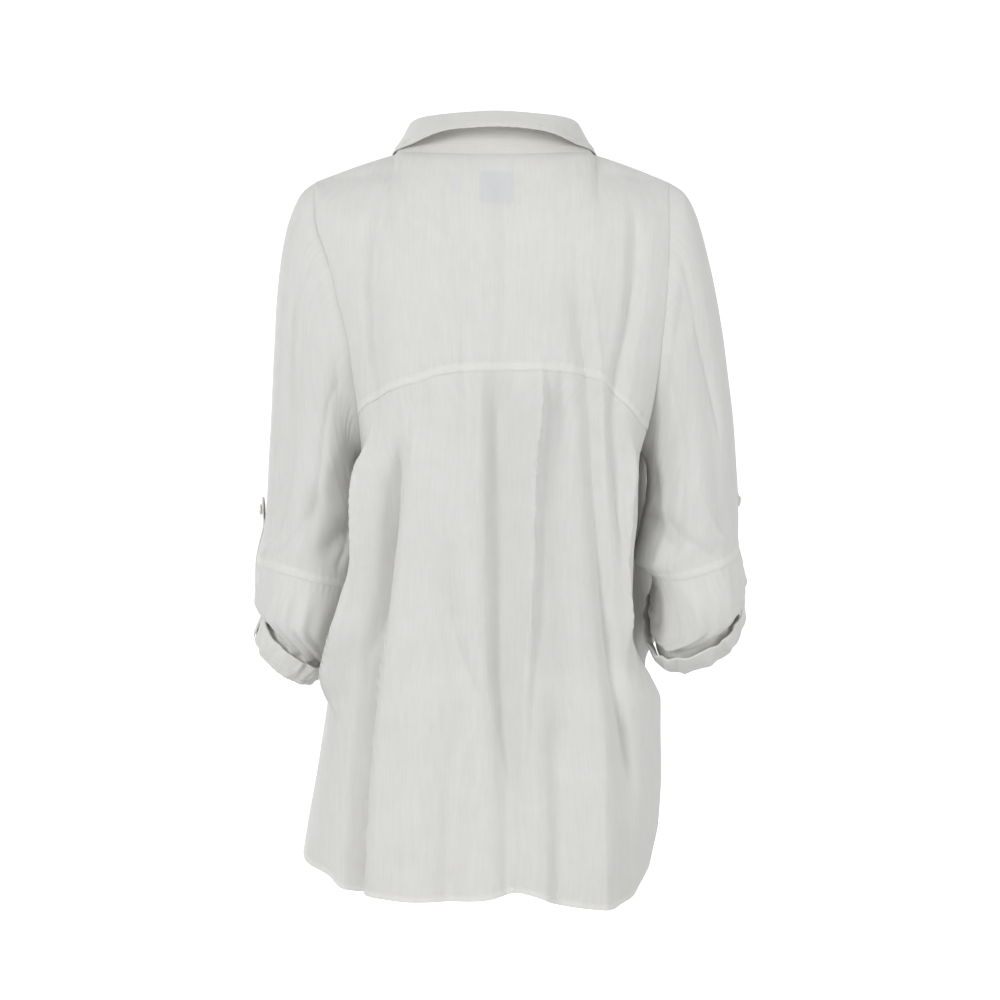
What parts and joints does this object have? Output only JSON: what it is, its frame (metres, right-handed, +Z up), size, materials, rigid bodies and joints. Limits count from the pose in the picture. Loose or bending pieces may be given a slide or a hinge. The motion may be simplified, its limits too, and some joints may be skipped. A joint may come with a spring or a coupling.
{
  "type": "button-up shirt",
  "caption": "Loose linen button-up shirt in its worn, hollow form, with a turned-down collar open in a V, a deep back yoke and rolled sleeves held by tabs.",
  "frame": {"origin": "on the middle line between the shoulder seams, where the wearer's shoulders hold the shirt up", "axes": "+Z up; the shirt's front faces -Y and its back +Y; the wearer's left is +X"},
  "size_m": [0.5147, 0.2778, 0.8052],
  "materials": {
    "linen": "matt, off-white slubby linen",
    "shell_button": "pale, satin",
    "label_tape": "woven tape, blank"
  },
  "bodies": {
    "root": {"yoke": "linen", "back": "linen", "front_left": "linen", "front_right": "linen", "placket_left": "linen", "placket_right": "linen", "collar_stand": "linen", "collar_fall": "linen", "sleeve_left": "linen", "sleeve_right": "linen", "lower_sleeve_left": "linen", "lower_sleeve_right": "linen", "cuff_left": "linen", "cuff_right": "linen", "tab_left": "linen", "tab_right": "linen", "tab_button_left": "shell_button", "tab_button_right": "shell_button", "button_1": "shell_button", "button_2": "shell_button", "button_3": "shell_button", "button_4": "shell_button", "button_5": "shell_button", "button_6": "shell_button", "button_7": "shell_button", "button_8": "shell_button", "neck_label": "label_tape", "size_label": "label_tape"}
  },
  "joints": []
}
